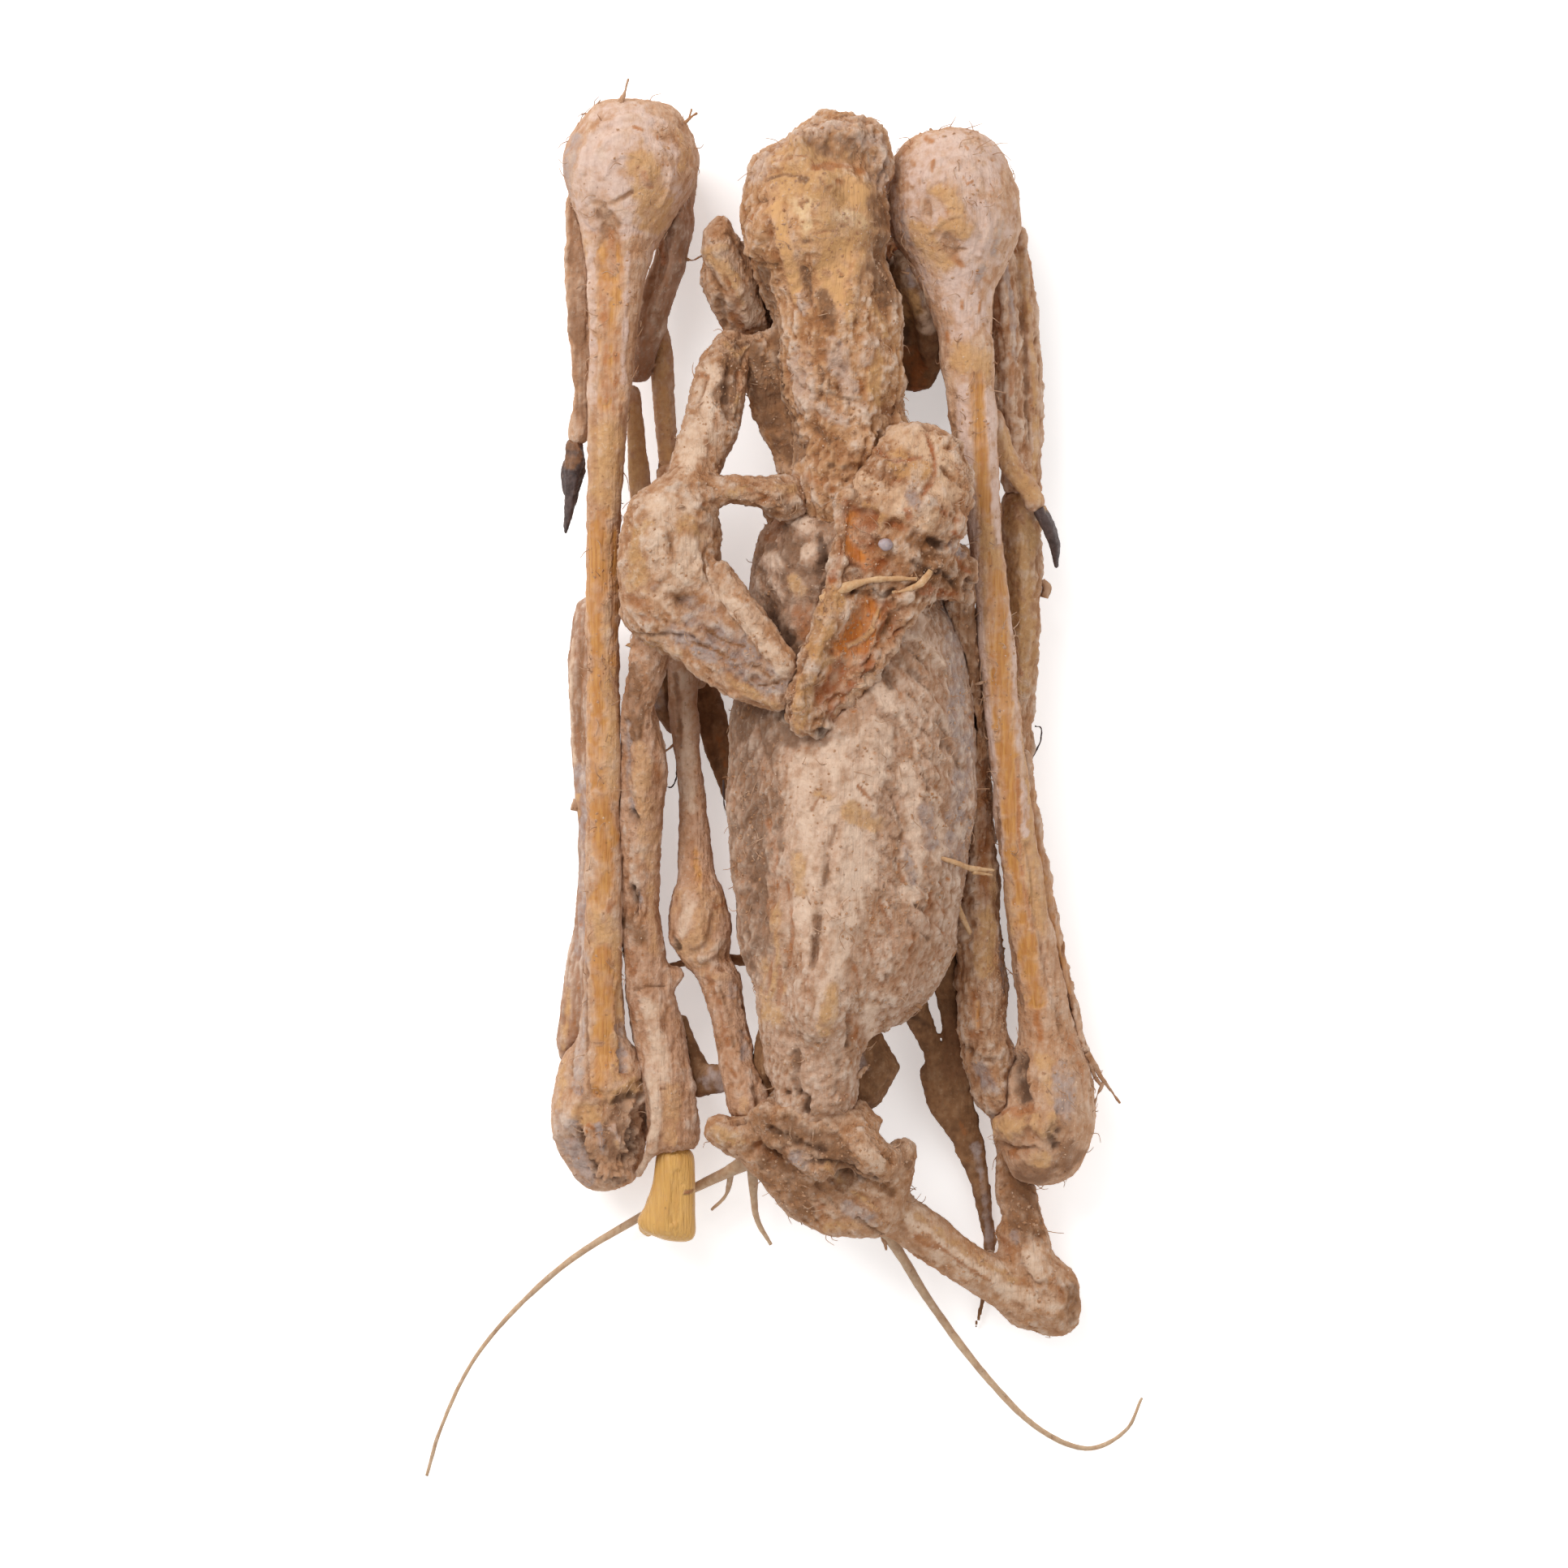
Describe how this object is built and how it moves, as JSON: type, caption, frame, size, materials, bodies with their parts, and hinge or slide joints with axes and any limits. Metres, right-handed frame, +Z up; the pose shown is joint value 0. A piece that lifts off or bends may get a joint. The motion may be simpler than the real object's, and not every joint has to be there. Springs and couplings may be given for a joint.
{
  "type": "fruit bat skeleton",
  "caption": "Dried fruit bat skeleton lying belly down with folded wings, knobbly wrists and elbows, crusted shoulder blades, ribbed back and whip-like finger ends",
  "frame": {"origin": "Centre of the footprint of the whole specimen, on the floor it lies on.", "axes": "+Y towards the head, +Z up out of the back, +X to the animal's right side seen from above with the head up, right handed."},
  "size_m": [0.1196, 0.2278, 0.0438],
  "materials": {
    "dried_tissue": "dry crusted muscle and skin over bone, matte, dusty pinkish beige",
    "cream_fascia": "dry cream fascia with salt-like bloom, matte",
    "bare_bone": "greasy ochre bone, satin, slightly translucent",
    "claw_horn": "dark brown claw horn, satin",
    "dark_skin": "thin dried wing skin, matte dark brown",
    "finger_end": "dry springy cartilage, tan, greying to the tip"
  },
  "bodies": {
    "root": {"skull": "dried_tissue", "jaw": "bare_bone", "neck": "dried_tissue", "neck_strap_left": "dried_tissue", "neck_skin_right": "dark_skin", "scapula_right": "dried_tissue", "scapula_left": "dried_tissue", "acromion_left": "dried_tissue", "clavicle_left": "dried_tissue", "backbone": "cream_fascia", "sternum": "dried_tissue", "rib_cage_left": "dried_tissue", "rib_cage_right": "dried_tissue", "lumbar": "dried_tissue", "flank_right": "dark_skin", "flank_left": "dark_skin", "sacrum": "cream_fascia", "pelvis": "dried_tissue", "wrist_left": "cream_fascia", "elbow_left": "dried_tissue", "forearm_left": "bare_bone", "humerus_left": "bare_bone", "arm_left": "dried_tissue", "thumb_left": "dried_tissue", "thumb_claw_left": "claw_horn", "wing_skin_left": "dark_skin", "third_finger_left": "dried_tissue", "second_finger_left": "dried_tissue", "finger_bundle_left": "dried_tissue", "wing_fold_left": "dark_skin", "last_finger_left": "dark_skin", "wrist_right": "cream_fascia", "elbow_right": "dried_tissue", "forearm_right": "bare_bone", "arm_right": "dried_tissue", "thumb_right": "dried_tissue", "thumb_claw_right": "claw_horn", "second_finger_right": "dried_tissue", "third_finger_right": "dried_tissue", "wing_skin_right": "dark_skin", "finger_bundle_right": "dried_tissue", "outer_finger_right": "bare_bone", "wing_fold_right": "dark_skin", "femur_right": "dried_tissue", "knee_right": "dried_tissue", "tibia_right": "dried_tissue", "foot_right": "dried_tissue", "knee_left": "dried_tissue", "femur_left": "dried_tissue", "tibia_left": "dried_tissue", "foot_left": "dried_tissue", "groin_skin_left": "dark_skin", "leg_cord_left": "dark_skin", "fingertip_left": "finger_end", "fingertip_right": "finger_end"}
  },
  "joints": []
}
